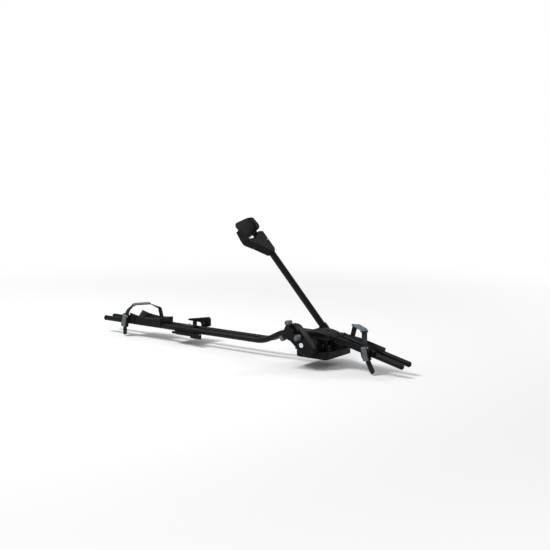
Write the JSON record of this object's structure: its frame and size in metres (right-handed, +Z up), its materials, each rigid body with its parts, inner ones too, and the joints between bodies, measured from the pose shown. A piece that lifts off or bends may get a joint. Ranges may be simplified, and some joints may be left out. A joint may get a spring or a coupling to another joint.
{
  "type": "roof bike carrier",
  "caption": "Upright roof bike carrier: twin rails with strapped wheel trays, a torque knob and a folding arm whose claw grips the down tube.",
  "frame": {"origin": "on the front crossbar's top face, straight under the folding arm's pivot, midway between the rails", "axes": "+X is the driving direction along the rails, +Y points away from the knob's side, +Z is up"},
  "size_m": [1.3792, 0.2212, 0.4938],
  "materials": {
    "gloss_black_tube": "gloss black powder coat",
    "black_plastic": "fine-grained matte black",
    "soft_black": "matte black rubber",
    "slate_grip": "matte slate grey",
    "slate_plastic": "matte slate grey",
    "steel": "zinc-plated",
    "bright_lock": "satin nickel",
    "black_steel": "black painted steel"
  },
  "bodies": {
    "base": {"near_tube": "gloss_black_tube", "far_tube": "gloss_black_tube", "rear_tube_plugs": "black_plastic", "front_tube_plugs": "black_plastic", "foot_body": "black_plastic", "foot_cover": "black_plastic", "foot_cover_screws": "steel", "foot_pad": "soft_black", "foot_bolts": "steel", "foot_bolt_nuts": "steel", "near_bush": "black_plastic", "far_bush": "black_plastic", "front_tray": "black_plastic", "front_tray_caps": "black_plastic", "front_strap": "soft_black", "front_strap_sleeve": "slate_grip", "front_strap_anchor": "black_plastic", "front_buckle_body": "black_plastic", "front_buckle_pin": "steel"},
    "arm": {"pivot_shaft": "steel", "arm_socket": "black_plastic", "arm_tube": "gloss_black_tube", "arm_rivets": "black_steel", "housing_back": "black_plastic", "housing_front": "black_plastic", "housing_screws": "black_steel", "lever_frame": "steel", "lock_barrel": "bright_lock", "pull_cable": "steel", "rod_guide": "black_plastic", "head_body": "black_plastic", "cradle_pad": "soft_black", "claw_pin": "steel"},
    "knob": {"knob_body": "black_plastic", "knob_grips": "slate_grip", "knob_cap": "black_plastic", "cable_drum": "black_plastic", "clutch_plate": "steel"},
    "lock": {"lock_plug": "bright_lock"},
    "rod": {"pull_rod": "steel"},
    "claw": {"claw_body": "black_plastic", "claw_pad": "soft_black", "claw_tail_pin": "steel"},
    "front_lever": {"front_buckle_lever": "slate_plastic"},
    "rear_wheel_tray": {"rear_tray": "black_plastic", "rear_strap": "soft_black", "rear_strap_sleeve": "slate_grip", "rear_strap_anchor": "black_plastic", "rear_buckle_body": "black_plastic", "rear_buckle_pin": "steel"},
    "rear_lever": {"rear_buckle_lever": "slate_plastic"},
    "rear_foot": {"rear_foot_saddle": "black_plastic", "rear_foot_keeper": "black_plastic", "rear_foot_pad": "soft_black", "rear_foot_bolt": "steel", "rear_foot_nut": "steel", "rear_cam_pin": "steel", "rear_bar_pin": "steel"},
    "cam_lever": {"rear_cam_lever": "black_plastic"},
    "bar_lever": {"rear_bar_lever": "black_plastic"}
  },
  "joints": [
    {"name": "arm_fold", "type": "hinge", "parent": "base", "child": "arm", "pos_m": [0, 0, 0.036], "axis": [0, 1, 0], "range_deg": [-41, 25]},
    {"name": "knob_turn", "type": "hinge", "parent": "arm", "child": "knob", "pos_m": [-0.053, -0.13, 0.09323], "axis": [0, 1, 0], "range_deg": [-760, 240]},
    {"name": "claw_swing", "type": "hinge", "parent": "arm", "child": "claw", "pos_m": [-0.30797, 0.068, 0.37093], "axis": [0.7337, 0, 0.6794], "range_deg": [-38.5, 12.5]},
    {"name": "rod_pull", "type": "slide", "parent": "arm", "child": "rod", "axis": [-0.6794, 0, 0.7337], "range_m": [-0.0027, 0.0082]},
    {"name": "lock_turn", "type": "hinge", "parent": "arm", "child": "lock", "pos_m": [-0.01413, -0.112, 0.05126], "axis": [0, 1, 0], "range_deg": [0, 90]},
    {"name": "front_lever_swing", "type": "hinge", "parent": "base", "child": "front_lever", "pos_m": [0.19905, -0.051, 0.05659], "axis": [-0.9781, 0, -0.2079], "range_deg": [0, 75]},
    {"name": "rear_tray_slide", "type": "slide", "parent": "base", "child": "rear_wheel_tray", "axis": [1, 0, 0], "range_m": [-0.06, 0.045]},
    {"name": "rear_lever_swing", "type": "hinge", "parent": "rear_wheel_tray", "child": "rear_lever", "pos_m": [-0.9034, -0.051, 0.04844], "axis": [-0.9703, 0, 0.2419], "range_deg": [0, 75]},
    {"name": "rear_foot_slide", "type": "slide", "parent": "base", "child": "rear_foot", "axis": [1, 0, 0], "range_m": [-0.015, 0.2]},
    {"name": "cam_lever_lift", "type": "hinge", "parent": "rear_foot", "child": "cam_lever", "pos_m": [-0.585, 0.06, 0.04], "axis": [0, 1, 0], "range_deg": [0, 90]},
    {"name": "bar_lever_swing", "type": "hinge", "parent": "rear_foot", "child": "bar_lever", "pos_m": [-0.532, -0.044, 0.01], "axis": [0, 0, 1], "range_deg": [0, 100]}
  ],
  "couplings": [
    {"joint": "claw_swing", "follows": "knob_turn", "ratio": 0.05},
    {"joint": "rod_pull", "follows": "knob_turn", "m_per_rad": -0.0006}
  ]
}
